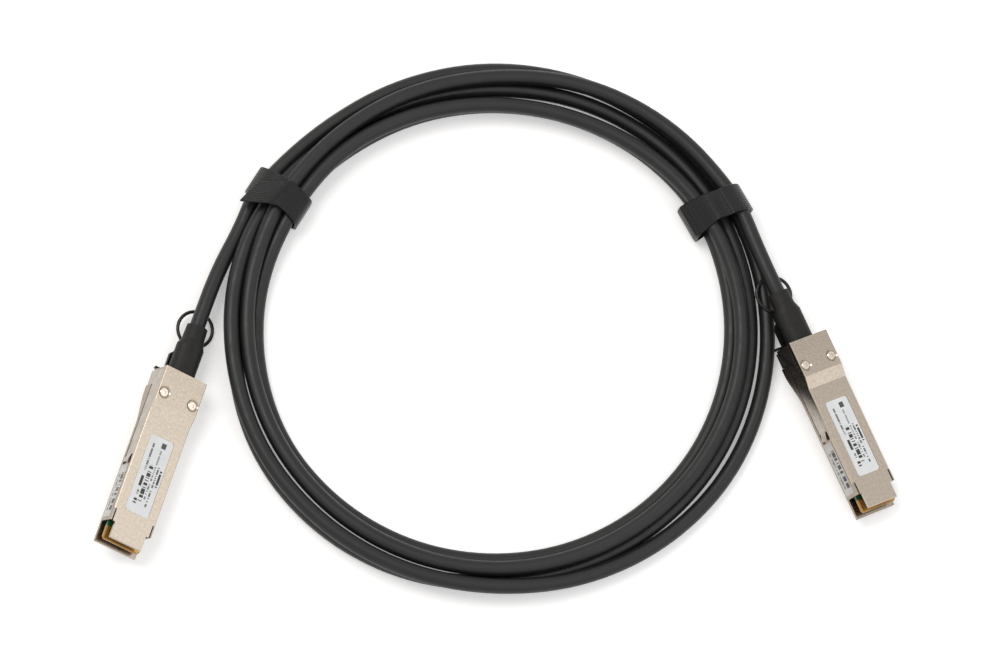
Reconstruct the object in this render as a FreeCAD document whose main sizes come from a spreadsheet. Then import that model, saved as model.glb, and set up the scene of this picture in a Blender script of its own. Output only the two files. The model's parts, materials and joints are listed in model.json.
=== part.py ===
import FreeCAD, Part
import math
import os
import Sketcher

# Passive copper cable with one pluggable module at each end, coiled and strapped.
# Units are millimetres and degrees.
#
# Each module is drawn in its own frame: X across, Y from the back face of the head
# towards the mating end, Z out of the cover, with Z = 0 on the flat of the cover.

doc = FreeCAD.newDocument("DirectAttachCable")
sheet = doc.addObject("Spreadsheet::Sheet", "Sizes")

SIZES = [
    # where the two modules lie: the back of the head at the level of the cover
    ("module_a_x", -120.9), ("module_a_y", 11.4), ("module_a_z", 14.28),
    ("module_a_heading", -108.1), ("module_a_dip", -2.0), ("module_a_roll", -25.9),
    ("module_b_x", 119.0), ("module_b_y", 32.5), ("module_b_z", 15.52),
    ("module_b_heading", -65.1), ("module_b_dip", 3.5), ("module_b_roll", -19.8),
    # housing: outline of the two castings
    ("housing_width", 18.35), ("body_depth", 8.5), ("head_depth", 11.5),
    ("head_rise", 1.3), ("cover_depth", 1.5), ("lip_end", 72.5), ("wall_end", 64.2),
    ("ramp_start", 14.5), ("ramp_end", 19.5), ("chin_start", 11.0), ("chin_end", 22.0),
    ("chin_radius", 14.0), ("wall_thickness", 1.1), ("floor_thickness", 1.2),
    ("cavity_start", 17.0), ("edge_round", 0.35), ("parting_bevel", 0.25),
    ("running_gap", 0.1), ("overcut", 1.0), ("corner_lap", 0.01),
    # front of the walls: thinner at the top, with a slit beside the cover
    ("rim_thickness", 0.55), ("rim_drop", 3.4), ("slit_width", 0.5),
    # cover: shoulders, front tongue, label pocket and screw seats
    ("tongue_start", 59.4), ("shoulder_end", 64.3), ("tongue_end", 70.6),
    ("tongue_width", 14.0), ("tongue_thickness", 1.2), ("tongue_round", 0.4),
    ("pocket_start", 26.5), ("pocket_end", 58.2), ("pocket_width", 10.6),
    ("pocket_depth", 0.16), ("pocket_round", 1.3), ("label_thickness", 0.1),
    ("label_gap", 0.15),
    ("screw_place", 10.2), ("screw_spread", 12.8), ("seat_diameter", 3.9),
    ("seat_depth", 0.8), ("seat_bevel", 0.55), ("screw_head_diameter", 3.5),
    ("screw_head_height", 0.6), ("screw_head_bevel", 0.25),
    ("screw_diameter", 1.6), ("screw_hole_diameter", 1.8), ("screw_grip", 3.4),
    ("recess_across", 1.3), ("recess_depth", 0.4),
    # cable, its bore through the head, and the ferrule that grips it
    ("cable_diameter", 6.0), ("cable_drop", 5.0), ("bore_diameter", 8.6),
    ("ferrule_diameter", 8.4), ("ferrule_neck", 7.4), ("ferrule_start", -12.0),
    ("ferrule_end", 12.0), ("ferrule_shoulder", 0.6), ("grip_depth", 3.0),
    ("ferrule_mouth", 5.4),
    # boot
    ("boot_width", 11.2), ("boot_height", 8.4), ("boot_shoulder", 12.2),
    ("boot_waist", 15.2), ("boot_waist_width", 8.8), ("boot_waist_height", 8.0),
    ("boot_length", 20.8), ("boot_end_width", 8.4), ("boot_end_height", 7.8),
    # latch slide, its recess in the housing, springs and ejector tabs
    ("recess", 0.6), ("sheet_thickness", 0.4), ("slide_gap", 0.075),
    ("arm_end", 36.8), ("arm_height", 5.3), ("arm_gap", 0.3),
    ("arm_recess_end", 40.8), ("leg_start", 1.0), ("leg_end", 7.0),
    ("belly_recess", 1.1), ("slide_tongue_width", 7.0),
    ("slide_tongue_end", -7.5), ("ejector_length", 3.2), ("ejector_reach", 0.9),
    ("ejector_height", 3.6), ("ejector_bend", 0.6), ("ejector_root", 0.2),
    ("ejector_nose", 0.3), ("lug_lap", 0.05), ("spring_diameter", 1.5),
    ("spring_wire", 0.3), ("spring_turns", 4.0), ("spring_start", 5.1),
    ("lug_place", 15.2), ("spring_drop", 6.3), ("spring_inset", 0.85),
    # pull tab with its cross bar, and the ring behind it
    ("bar_width", 17.4), ("bar_end", 1.3), ("tab_width", 9.8), ("tab_length", 8.4),
    ("tab_taper_end", 10.75), ("tab_neck_width", 5.6), ("tab_thickness", 1.4),
    ("tab_gap", 0.3), ("ring_place", 21.6), ("ring_radius", 7.0), ("ring_cord", 1.4),
    ("ring_shift", -1.8), ("ring_tilt", 11.0), ("ring_lap", 0.4),
    # paddle card, contacts, memory and wires
    ("card_thickness", 1.0), ("card_width", 16.42), ("card_front", 71.3),
    ("card_back", 26.0), ("card_top_drop", 3.7), ("card_chamfer", 0.8),
    ("ledge_width", 0.9), ("ledge_start", 34.0), ("ledge_end", 62.0),
    ("finger_count", 19), ("finger_pitch", 0.8), ("finger_width", 0.54),
    ("finger_length", 5.2), ("finger_inset", 0.5), ("finger_thickness", 0.05),
    ("chip_width", 3.9), ("chip_length", 4.9), ("chip_height", 1.3),
    ("chip_place", 46.0), ("wire_width", 1.2), ("wire_height", 0.8), ("wire_pitch", 3.4),
    ("wire_bundle_pitch", 1.35), ("wire_end", 31.0), ("wire_bend_gap", 2.4),
    ("wire_start_gap", 0.3),
    # label on the side wall
    ("side_label_start", 41.3), ("side_label_end", 62.8), ("side_label_height", 5.8),
    ("side_label_drop", 0.4),
    # coil and straps
    ("coil_x", -1.2), ("coil_y", 35.1), ("strap_width", 12.5),
    ("strap_thickness", 1.2), ("strap_gap", 0.2), ("strap_left_angle", 149.2),
    ("strap_right_angle", 29.4), ("strap_flap_length", 9.0),
]

for row, (alias, value) in enumerate(SIZES, start=1):
    sheet.set(f"A{row}", alias)
    sheet.set(f"B{row}", str(value))
    sheet.setAlias(f"B{row}", alias)
doc.recompute()

VECTOR = FreeCAD.Vector
NODES = []
CLOSE = 0.01  # lengths that differ by less are the same
VOLUME_SPREAD = 0.02  # share by which a tube's volume may differ from area times length
BEND_SHARE = 0.45  # share of the shorter neighbour run that an arc of a route takes up
PAIR_PLACES = (-1.5, -0.5, 0.5, 1.5)  # places of the pairs across the card, in pitches
SPRING_STEPS = 10  # sections for each turn of a spring
RING_STEPS = 28  # sections round the pull ring
CORD_SIDES = 8  # flats round the cord of the pull ring
TUBE_SIDES = 16  # flats round the free cable


def size(alias):
    """Value of one cell of the sheet."""
    return float(sheet.get(alias))


def named(expression):
    """Write the sheet's name in front of every alias of an expression."""
    words = []
    word = ""
    for character in expression + " ":
        if character.isalnum() or character == "_":
            word += character
            continue
        words.append(f"Sizes.{word}" if word and not word[0].isdigit() else word)
        word = ""
        words.append(character)
    return "".join(words).strip()


def bind(thing, path, expression):
    """Bind a property of a document object to an expression in sheet sizes."""
    thing.setExpression(path, named(expression))


def worked_out(thing, expression):
    """Present value of an expression in sheet sizes."""
    value = thing.evalExpression(named(expression))
    return float(getattr(value, "Value", value))


def module_placement(side):
    """Placement of one module's frame: heading, dip of the mating end and roll."""
    name = f"module_{side}"
    where = VECTOR(size(f"{name}_x"), size(f"{name}_y"), size(f"{name}_z"))
    turn = FreeCAD.Rotation(VECTOR(0, 0, 1), size(f"{name}_heading") - 90)
    dip = FreeCAD.Rotation(VECTOR(1, 0, 0), -size(f"{name}_dip"))
    roll = FreeCAD.Rotation(VECTOR(0, 1, 0), size(f"{name}_roll"))
    return FreeCAD.Placement(where, turn * dip * roll)


def new_body(label, side):
    """Empty body for one sub-part of a module."""
    body = doc.addObject("PartDesign::Body", label)
    body.Label = label
    body.Placement = module_placement(side)
    NODES.append(body)
    return body


def new_sketch(body, role, offset="0", up="0"):
    """Empty sketch on an origin plane, moved along its normal and its vertical axis."""
    sketch = body.newObject("Sketcher::SketchObject", f"{body.Label}_sketch")
    plane = [item for item in body.Origin.OriginFeatures if item.Role == role][0]
    sketch.AttachmentSupport = [(plane, "")]
    sketch.MapMode = "FlatFace"
    bind(sketch, "AttachmentOffset.Base.z", offset)
    bind(sketch, "AttachmentOffset.Base.y", up)
    return sketch


def pin_point(sketch, geometry, position, x=None, y=None):
    """Tie a point of a sketch to the sketch's origin by one or two driven distances."""
    for kind, expression in (("DistanceX", x), ("DistanceY", y)):
        if expression is not None:
            ends = (-1, 1, geometry, position, worked_out(sketch, expression))
            index = sketch.addConstraint(Sketcher.Constraint(kind, *ends))
            bind(sketch, f"Constraints[{index}]", expression)


def draw_polygon(sketch, corners):
    """Closed polygon; each corner is a pair of expressions."""
    points = []
    for x, y in corners:
        points.append(VECTOR(worked_out(sketch, x), worked_out(sketch, y), 0))
    first = sketch.GeometryCount
    count = len(points)
    for index, point in enumerate(points):
        sketch.addGeometry(Part.LineSegment(point, points[(index + 1) % count]))
    for index in range(count):
        ahead = first + (index + 1) % count
        sketch.addConstraint(Sketcher.Constraint("Coincident", first + index, 2, ahead, 1))
    for index, (x, y) in enumerate(corners):
        pin_point(sketch, first + index, 1, x, y)
    return sketch


def rectangle(low_x, high_x, low_y, high_y):
    """Corners of a rectangle."""
    return [(low_x, low_y), (high_x, low_y), (high_x, high_y), (low_x, high_y)]


def draw_circle(sketch, x, y, diameter):
    """Circle with its centre and diameter tied to the sheet."""
    centre = VECTOR(worked_out(sketch, x), worked_out(sketch, y), 0)
    radius = worked_out(sketch, diameter) / 2
    index = sketch.addGeometry(Part.Circle(centre, VECTOR(0, 0, 1), radius))
    pin_point(sketch, index, 3, x, y)
    constraint = sketch.addConstraint(Sketcher.Constraint("Diameter", index, 2 * radius))
    bind(sketch, f"Constraints[{constraint}]", diameter)
    return sketch


def draw_stadium(sketch, width, height, drop="0"):
    """Oval of two half circles joined by straight runs, wider than it is high."""
    radius = worked_out(sketch, height) / 2
    reach = worked_out(sketch, width) / 2 - radius
    level = -worked_out(sketch, drop)
    half = f"(({width}) - ({height})) / 2"
    first = sketch.GeometryCount
    for sign, prefix, start in ((1, "", -90), (-1, "-", 90)):
        centre = VECTOR(sign * reach, level, 0)
        circle = Part.Circle(centre, VECTOR(0, 0, 1), radius)
        angles = (math.radians(start), math.radians(start + 180))
        arc = sketch.addGeometry(Part.ArcOfCircle(circle, *angles))
        end = VECTOR(sign * reach, level + sign * radius, 0)
        sketch.addGeometry(Part.LineSegment(end, end - VECTOR(2 * sign * reach, 0, 0)))
        pin_point(sketch, arc, 3, prefix + half, f"-({drop})")
        index = sketch.addConstraint(Sketcher.Constraint("Radius", arc, radius))
        bind(sketch, f"Constraints[{index}]", f"({height}) / 2")
        pin_point(sketch, arc, 1, prefix + half)
        pin_point(sketch, arc, 2, prefix + half)
    for index, follower in ((0, 1), (1, 2), (2, 3), (3, 0)):
        ends = (first + index, 2, first + follower, 1)
        sketch.addConstraint(Sketcher.Constraint("Coincident", *ends))
    return sketch


def swept(body, kind, sketch, length, both_ways=False, backwards=False):
    """Pad or pocket of one sketch; the result has to change the body's volume."""
    before = body.Shape.Volume if body.Tip else 0.0
    feature = body.newObject(f"PartDesign::{kind}", f"{body.Label}_{kind}")
    feature.Profile = sketch
    bind(feature, "Length", length)
    feature.SideType = "Symmetric" if both_ways else "One side"
    feature.Reversed = backwards
    doc.recompute()
    change = body.Shape.Volume - before
    if (change <= 0) == (kind == "Pad"):
        raise RuntimeError(f"{feature.Label} changed the volume by {change:.3f}")
    return feature


def pad(body, sketch, length, **options):
    """Add material along the sketch's normal."""
    return swept(body, "Pad", sketch, length, **options)


def pocket(body, sketch, length, **options):
    """Take material away against the sketch's normal."""
    return swept(body, "Pocket", sketch, length, **options)


def revolved(body, sketch, axis):
    """Turn a profile once about one of the sketch's axes."""
    feature = body.newObject("PartDesign::Revolution", f"{body.Label}_turned")
    feature.Profile = sketch
    feature.ReferenceAxis = (sketch, [axis])
    feature.Angle = 360
    doc.recompute()
    return feature


def mirrored(body, features):
    """Copy features to the other side of the module."""
    feature = body.newObject("PartDesign::Mirrored", f"{body.Label}_mirrored")
    feature.Originals = features
    plane = [item for item in body.Origin.OriginFeatures if item.Role == "YZ_Plane"][0]
    feature.MirrorPlane = (plane, [""])
    body.Tip = feature
    doc.recompute()
    return feature


def dressed(body, kind, edges, amount_path, amount):
    """Fillet or chamfer of the edges of the tip that a test picks out."""
    base = body.Tip
    picked = []
    for number, edge in enumerate(base.Shape.Edges, start=1):
        if edges(edge):
            picked.append(f"Edge{number}")
    feature = body.newObject(f"PartDesign::{kind}", f"{body.Label}_{kind}")
    feature.Base = (base, picked)
    bind(feature, amount_path, amount)
    body.Tip = feature
    doc.recompute()
    return feature


def fillet(body, edges, radius):
    """Round the edges that a test picks out."""
    return dressed(body, "Fillet", edges, "Radius", radius)


def chamfer(body, edges, amount):
    """Bevel the edges that a test picks out."""
    return dressed(body, "Chamfer", edges, "Size", amount)


def near(value, target):
    """Whether two lengths agree."""
    return abs(value - target) < CLOSE


def runs_across(edge, place, level):
    """Whether an edge is straight, runs along X and lies at a given Y and Z."""
    box = edge.BoundBox
    flat = near(box.YLength, 0) and near(box.ZLength, 0)
    return flat and near(box.YMin, place) and near(box.ZMin, level)


def runs_along(edge, x):
    """Whether an edge is straight and lies at a given distance from the middle plane."""
    box = edge.BoundBox
    return near(box.XLength, 0) and near(abs(box.XMin), x) and box.YLength > CLOSE


def is_rim(edge, diameter, level):
    """Whether an edge is a level circle of a given diameter and height."""
    box = edge.BoundBox
    level_ring = near(box.ZLength, 0) and near(box.ZMin, level)
    return level_ring and near(box.XLength, diameter) and near(box.YLength, diameter)


def stands_up(edge, x, place):
    """Whether an edge is straight, runs along Z and lies at a given X and Y."""
    box = edge.BoundBox
    flat = near(box.XLength, 0) and near(box.YLength, 0) and box.ZLength > CLOSE
    return flat and near(box.XMin, x) and near(box.YMin, place)


def housing_body(side):
    """Lower casting: floor, side walls, head with its bore, recesses and spring pockets."""
    body = new_body(f"housing_body_{side}", side)
    profile = new_sketch(body, "YZ_Plane")
    draw_polygon(profile, [
        ("0", "-cover_depth"), ("0", "-head_depth"), ("chin_start", "-head_depth"),
        ("chin_end", "-body_depth"), ("lip_end", "-body_depth"),
        ("lip_end", "floor_thickness - body_depth"),
        ("wall_end", "floor_thickness - body_depth"), ("wall_end", "0"),
        ("tongue_start", "0"), ("tongue_start", "-cover_depth"),
    ])
    pad(body, profile, "housing_width", both_ways=True)
    chin = (("chin_start", "head_depth"), ("chin_end", "body_depth"))
    corners = [(size(place), -size(level)) for place, level in chin]
    fillet(body, lambda edge: any(runs_across(edge, *corner) for corner in corners), "chin_radius")
    cavity = new_sketch(body, "XZ_Plane", "-cavity_start")
    inner = "(housing_width / 2 - wall_thickness)"
    draw_polygon(cavity, rectangle(f"-{inner}", inner, "floor_thickness - body_depth", "overcut"))
    pocket(body, cavity, "lip_end - cavity_start + overcut")
    rim = new_sketch(body, "XY_Plane")
    slim = "(housing_width / 2 - rim_thickness)"
    draw_polygon(rim, rectangle(f"-{slim}", slim, "tongue_start", "wall_end + overcut"))
    pocket(body, rim, "rim_drop")
    bore = draw_circle(
        new_sketch(body, "XZ_Plane", "overcut"), "0", "-cable_drop", "bore_diameter")
    pocket(body, bore, "cavity_start + 2 * overcut")
    screws = new_sketch(body, "XY_Plane", "-cover_depth")
    for sign in ("", "-"):
        draw_circle(screws, f"{sign}screw_spread / 2", "screw_place", "screw_hole_diameter")
    pocket(body, screws, "screw_grip + running_gap")
    arm = new_sketch(body, "YZ_Plane", "housing_width / 2 - recess")
    low = "-(cover_depth + arm_height + arm_gap)"
    draw_polygon(arm, [
        ("-overcut", "-cover_depth + corner_lap"), ("-overcut", "-head_depth - overcut"),
        ("leg_end + running_gap", "-head_depth - overcut"),
        ("leg_end + running_gap", low), ("arm_recess_end", low),
        ("arm_recess_end", "-cover_depth + corner_lap"),
    ])
    side_recess = pocket(body, arm, "overcut + recess", backwards=True)
    spring = new_sketch(body, "YZ_Plane", "housing_width / 2 - recess")
    level = "spring_drop"
    half = "(spring_diameter / 2 + running_gap)"
    draw_polygon(spring, rectangle(
        "spring_start - running_gap", "lug_place + sheet_thickness + 2 * running_gap",
        f"-{level} - {half}", f"-{level} + {half}"))
    spring_pocket = pocket(body, spring, "2 * spring_inset + running_gap")
    mirrored(body, [side_recess, spring_pocket])
    belly = new_sketch(body, "YZ_Plane")
    draw_polygon(belly, rectangle(
        "-overcut", "leg_end + running_gap", "-head_depth - overcut",
        "-head_depth + belly_recess"))
    pocket(body, belly, "housing_width + 2 * overcut", both_ways=True)
    ledges = new_sketch(body, "XZ_Plane", "-ledge_start")
    outer = "housing_width / 2 - wall_thickness"
    for sign in ("", "-"):
        draw_polygon(ledges, rectangle(
            f"{sign}({outer} - ledge_width)", f"{sign}({outer})",
            "floor_thickness - body_depth", "-card_top_drop - card_thickness"))
    pad(body, ledges, "ledge_end - ledge_start", backwards=True)
    return body


def housing_cover(side):
    """Upper casting: plate with raised head, ramp, label pocket, screw seats and tongue."""
    body = new_body(f"housing_cover_{side}", side)
    profile = new_sketch(body, "YZ_Plane")
    draw_polygon(profile, [
        ("0", "-cover_depth"), ("tongue_start", "-cover_depth"), ("tongue_start", "0"),
        ("ramp_end", "0"), ("ramp_start", "head_rise"), ("0", "head_rise"),
    ])
    pad(body, profile, "housing_width", both_ways=True)
    flank = size("housing_width") / 2
    lowest = -size("cover_depth")
    fillet(body, lambda edge: runs_along(edge, flank) and edge.BoundBox.ZMin > lowest / 2,
           "edge_round")
    chamfer(body, lambda edge: runs_along(edge, flank) and near(edge.BoundBox.ZMax, lowest),
            "parting_bevel")
    tongue = new_sketch(body, "XY_Plane")
    wide = "(housing_width / 2 - rim_thickness - slit_width)"
    slim = "tongue_width / 2"
    draw_polygon(tongue, [
        (f"-{wide}", "tongue_start - overcut"), (wide, "tongue_start - overcut"),
        (wide, "shoulder_end"), (slim, "shoulder_end"), (slim, "tongue_end"),
        (f"-{slim}", "tongue_end"), (f"-{slim}", "shoulder_end"),
        (f"-{wide}", "shoulder_end"),
    ])
    pad(body, tongue, "tongue_thickness", backwards=True)
    rim = (size("tongue_end"), 0.0)
    fillet(body, lambda edge: runs_across(edge, *rim), "tongue_round")
    bore = draw_circle(
        new_sketch(body, "XZ_Plane", "overcut"), "0", "-cable_drop", "bore_diameter")
    pocket(body, bore, "pocket_start")
    label = new_sketch(body, "XY_Plane")
    draw_polygon(label, rectangle(
        "-pocket_width / 2", "pocket_width / 2", "pocket_start", "pocket_end"))
    pocket(body, label, "pocket_depth")
    corners = [(x * size("pocket_width") / 2, size(place))
               for x in (-1, 1) for place in ("pocket_start", "pocket_end")]
    fillet(body, lambda edge: any(stands_up(edge, *corner) for corner in corners), "pocket_round")
    for diameter, depth in (("seat_diameter", "seat_depth"),
                            ("screw_hole_diameter", "head_rise + cover_depth")):
        seats = new_sketch(body, "XY_Plane", "head_rise")
        for sign in ("", "-"):
            draw_circle(seats, f"{sign}screw_spread / 2", "screw_place", diameter)
        pocket(body, seats, depth)
    rims = (size("seat_diameter"), size("head_rise"))
    chamfer(body, lambda edge: is_rim(edge, *rims), "seat_bevel")
    return body


def cover_screws(side):
    """Two cheese-head screws with a bevelled rim and a square driver recess."""
    body = new_body(f"cover_screws_{side}", side)
    features = []
    seat = "head_rise - seat_depth"
    parts = (
        ("screw_head_diameter", "screw_head_height", False),
        ("screw_diameter", f"{seat} + cover_depth + screw_grip", True),
    )
    for diameter, length, downwards in parts:
        sketch = new_sketch(body, "XY_Plane", seat)
        draw_circle(sketch, "screw_spread / 2", "screw_place", diameter)
        features.append(pad(body, sketch, length, backwards=downwards))
    recess = new_sketch(body, "XY_Plane", f"{seat} + screw_head_height")
    half = "recess_across / 2"
    draw_polygon(recess, rectangle(
        f"screw_spread / 2 - {half}", f"screw_spread / 2 + {half}",
        f"screw_place - {half}", f"screw_place + {half}"))
    features.append(pocket(body, recess, "recess_depth"))
    mirrored(body, features)
    top = size("head_rise") - size("seat_depth") + size("screw_head_height")
    rim = (size("screw_head_diameter"), top)
    chamfer(body, lambda edge: is_rim(edge, *rim), "screw_head_bevel")
    return body


def paddle_card(side):
    """Circuit board: full width in the mating end, narrower between the walls."""
    body = new_body(f"paddle_card_{side}", side)
    sketch = new_sketch(body, "XY_Plane", "-card_top_drop")
    narrow = "(housing_width / 2 - wall_thickness - running_gap)"
    wide = "card_width / 2"
    neck = "wall_end + running_gap"
    draw_polygon(sketch, [
        (f"-{narrow}", "card_back"), (narrow, "card_back"), (narrow, neck), (wide, neck),
        (wide, "card_front - card_chamfer"), (f"{wide} - card_chamfer", "card_front"),
        (f"-{wide} + card_chamfer", "card_front"), (f"-{wide}", "card_front - card_chamfer"),
        (f"-{wide}", neck), (f"-{narrow}", neck),
    ])
    pad(body, sketch, "card_thickness", backwards=True)
    return body


def contact_fingers(side):
    """Gold edge contacts: one row on each face of the card."""
    body = new_body(f"contact_fingers_{side}", side)
    rows = []
    start = "-(finger_count - 1) / 2 * finger_pitch"
    for level, downwards in (("-card_top_drop", False), ("-card_top_drop - card_thickness", True)):
        sketch = new_sketch(body, "XY_Plane", level)
        draw_polygon(sketch, rectangle(
            f"{start} - finger_width / 2", f"{start} + finger_width / 2",
            "card_front - finger_inset - finger_length", "card_front - finger_inset"))
        rows.append(pad(body, sketch, "finger_thickness", backwards=downwards))
    pattern = body.newObject("PartDesign::LinearPattern", f"{body.Label}_row")
    pattern.Originals = rows
    pattern.Direction = (sketch, ["H_Axis"])
    pattern.Mode = "Spacing"
    bind(pattern, "Offset", "finger_pitch")
    bind(pattern, "Occurrences", "finger_count")
    body.Tip = pattern
    doc.recompute()
    return body


def memory_chip(side):
    """Small outline chip on the top face of the card."""
    body = new_body(f"memory_chip_{side}", side)
    sketch = new_sketch(body, "XY_Plane", "-card_top_drop")
    draw_polygon(sketch, rectangle(
        "-chip_width / 2", "chip_width / 2", "chip_place", "chip_place + chip_length"))
    pad(body, sketch, "chip_height")
    return body


def crimp_ferrule(side):
    """Turned sleeve: a barrel in the head's bore and a neck that grips the cable."""
    body = new_body(f"crimp_ferrule_{side}", side)
    sketch = new_sketch(body, "YZ_Plane", up="-cable_drop")
    draw_polygon(sketch, [
        ("ferrule_start", "cable_diameter / 2"), ("ferrule_start", "ferrule_neck / 2"),
        ("ferrule_shoulder", "ferrule_neck / 2"), ("ferrule_shoulder", "ferrule_diameter / 2"),
        ("ferrule_end", "ferrule_diameter / 2"), ("ferrule_end", "ferrule_mouth / 2"),
        ("ferrule_start + grip_depth", "ferrule_mouth / 2"),
        ("ferrule_start + grip_depth", "cable_diameter / 2"),
    ])
    revolved(body, sketch, "H_Axis")
    return body


def cable_boot(side):
    """Strain relief: wide oval behind the head, shoulder, and a round neck."""
    body = new_body(f"cable_boot_{side}", side)
    wide = new_sketch(body, "XZ_Plane")
    draw_stadium(wide, "boot_width", "boot_height", "cable_drop")
    pad(body, wide, "boot_shoulder")
    sections = []
    for place, width, height in (
            ("boot_shoulder", "boot_width", "boot_height"),
            ("boot_waist", "boot_waist_width", "boot_waist_height"),
            ("boot_length", "boot_end_width", "boot_end_height")):
        section = new_sketch(body, "XZ_Plane", place)
        draw_stadium(section, width, height, "cable_drop")
        sections.append(section)
    loft = body.newObject("PartDesign::AdditiveLoft", f"{body.Label}_loft")
    loft.Profile = sections[0]
    loft.Sections = sections[1:]
    loft.Ruled = True
    doc.recompute()
    through = new_sketch(body, "XZ_Plane", "boot_length + overcut")
    draw_circle(through, "0", "-cable_drop", "cable_diameter + 2 * running_gap")
    pocket(body, through, "boot_length + 2 * overcut")
    seat = draw_circle(
        new_sketch(body, "XZ_Plane", "-overcut"), "0", "-cable_drop", "ferrule_neck")
    pocket(body, seat, "overcut - ferrule_start + running_gap", backwards=True)
    return body


def latch_slide(side):
    """Bent sheet: two arms with ejector tabs, two legs, a bridge and a tongue."""
    body = new_body(f"latch_slide_{side}", side)
    face = "housing_width / 2 - recess + slide_gap"
    top = "-cover_depth - running_gap"
    bottom = f"{top} - arm_height"
    bridge = "-head_depth + belly_recess - running_gap"
    arm = new_sketch(body, "YZ_Plane", face)
    draw_polygon(arm, [
        ("leg_start", top), ("leg_start", f"{bridge} - sheet_thickness"),
        ("leg_end", f"{bridge} - sheet_thickness"), ("leg_end", bottom),
        ("arm_end", bottom), ("arm_end", top),
    ])
    features = [pad(body, arm, "sheet_thickness")]
    middle = "(-cover_depth - running_gap - arm_height / 2)"
    ejector = new_sketch(body, "XY_Plane", f"{middle} - ejector_height / 2")
    outer = f"{face} + sheet_thickness"
    draw_polygon(ejector, [
        (face, "arm_end - sheet_thickness"), (outer, "arm_end - sheet_thickness"),
        (f"{outer} + ejector_reach", "arm_end + ejector_length - ejector_nose"),
        (f"{outer} + ejector_reach - sheet_thickness", "arm_end + ejector_length"),
        (f"{outer} - ejector_root", "arm_end + ejector_bend"),
        (face, "arm_end + ejector_root"),
    ])
    features.append(pad(body, ejector, "ejector_height"))
    lug = new_sketch(body, "XZ_Plane", "-lug_place - sheet_thickness")
    half = "spring_diameter / 2"
    draw_polygon(lug, rectangle(
        f"{face} - 2 * spring_inset + running_gap", f"{face} + lug_lap",
        f"-spring_drop - {half}", f"-spring_drop + {half}"))
    features.append(pad(body, lug, "sheet_thickness"))
    mirrored(body, features)
    plate = new_sketch(body, "XY_Plane", bridge)
    wide = f"({face} + sheet_thickness)"
    slim = "slide_tongue_width / 2"
    draw_polygon(plate, [
        (f"-{wide}", "leg_start"), (f"-{slim}", "leg_start"), (f"-{slim}", "slide_tongue_end"),
        (slim, "slide_tongue_end"), (slim, "leg_start"), (wide, "leg_start"),
        (wide, "leg_end"), (f"-{wide}", "leg_end"),
    ])
    pad(body, plate, "sheet_thickness", backwards=True)
    return body


def tab_levels():
    """Top and bottom of the moulded tab, centred on the slide's tongue."""
    centre = "-head_depth + belly_recess - running_gap - sheet_thickness / 2"
    return f"{centre} + tab_thickness / 2", centre


def finger_ring(level):
    """Ring of round cord, leaning so that it lies nearly level when the module is rolled."""
    centre = VECTOR(size("ring_shift"), -size("ring_place"), level)
    lean = FreeCAD.Rotation(VECTOR(0, 1, 0), size("ring_tilt"))
    upward = lean.multVec(VECTOR(0, 0, 1))
    half = size("ring_cord") / 2
    sections = []
    for step in range(RING_STEPS):
        turn = 2 * math.pi * step / RING_STEPS
        outward = lean.multVec(VECTOR(math.cos(turn), math.sin(turn), 0))
        corners = []
        for flat in range(CORD_SIDES):
            angle = 2 * math.pi * flat / CORD_SIDES
            reach = size("ring_radius") + half * math.cos(angle)
            corners.append(centre + outward * reach + upward * (half * math.sin(angle)))
        sections.append(Part.makePolygon(corners + corners[:1]))
    return Part.makeLoft(sections, True, True, True)


def pull_tab(side):
    """Moulded tab over the slide's tongue, with a cross bar under the head's back edge."""
    body = new_body(f"pull_tab_{side}", side)
    NODES.remove(body)
    top, centre = tab_levels()
    outline = new_sketch(body, "XY_Plane", top)
    bar = "bar_width / 2"
    wide = "tab_width / 2"
    slim = "tab_neck_width / 2"
    back = "-(ring_place - ring_radius + ring_lap)"
    draw_polygon(outline, [
        (f"-{bar}", "-tab_gap"), (f"-{bar}", "-bar_end"), (f"-{wide}", "-bar_end"),
        (f"-{wide}", "-tab_length"), (f"-{slim}", "-tab_taper_end"), (f"-{slim}", back),
        (slim, back), (slim, "-tab_taper_end"), (wide, "-tab_length"), (wide, "-bar_end"),
        (bar, "-bar_end"), (bar, "-tab_gap"),
    ])
    pad(body, outline, "tab_thickness", backwards=True)
    slot = new_sketch(body, "XZ_Plane", "0", centre)
    draw_polygon(slot, rectangle(
        "-slide_tongue_width / 2", "slide_tongue_width / 2",
        "-sheet_thickness / 2", "sheet_thickness / 2"))
    pocket(body, slot, "-slide_tongue_end", backwards=True)
    return body


def pull_ring(side):
    """Pull tab and finger ring, moulded in one piece."""
    body = pull_tab(side)
    level = worked_out(body, tab_levels()[1])
    tab = body.Shape.copy()
    tab.Placement = FreeCAD.Placement()
    whole = tab.fuse(finger_ring(level)).removeSplitter()
    return solid_node(f"pull_ring_{side}", whole, module_placement(side))


def flat_label(name, side, sketch_role, offset, corners, backwards=False):
    """Thin label on a face of the housing."""
    body = new_body(f"{name}_{side}", side)
    sketch = new_sketch(body, sketch_role, offset)
    draw_polygon(sketch, corners)
    pad(body, sketch, "label_thickness", backwards=backwards)
    return body


def cover_label(side):
    """Bare label in the cover's pocket."""
    half = "(pocket_width / 2 - label_gap)"
    body = flat_label("cover_label", side, "XY_Plane", "-pocket_depth", rectangle(
        f"-{half}", half, "pocket_start + label_gap", "pocket_end - label_gap"))
    corners = [(x * (size("pocket_width") / 2 - size("label_gap")), place)
               for x in (-1, 1)
               for place in (size("pocket_start") + size("label_gap"),
                             size("pocket_end") - size("label_gap"))]
    fillet(body, lambda edge: any(stands_up(edge, *corner) for corner in corners),
           "pocket_round - label_gap")
    return body


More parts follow.
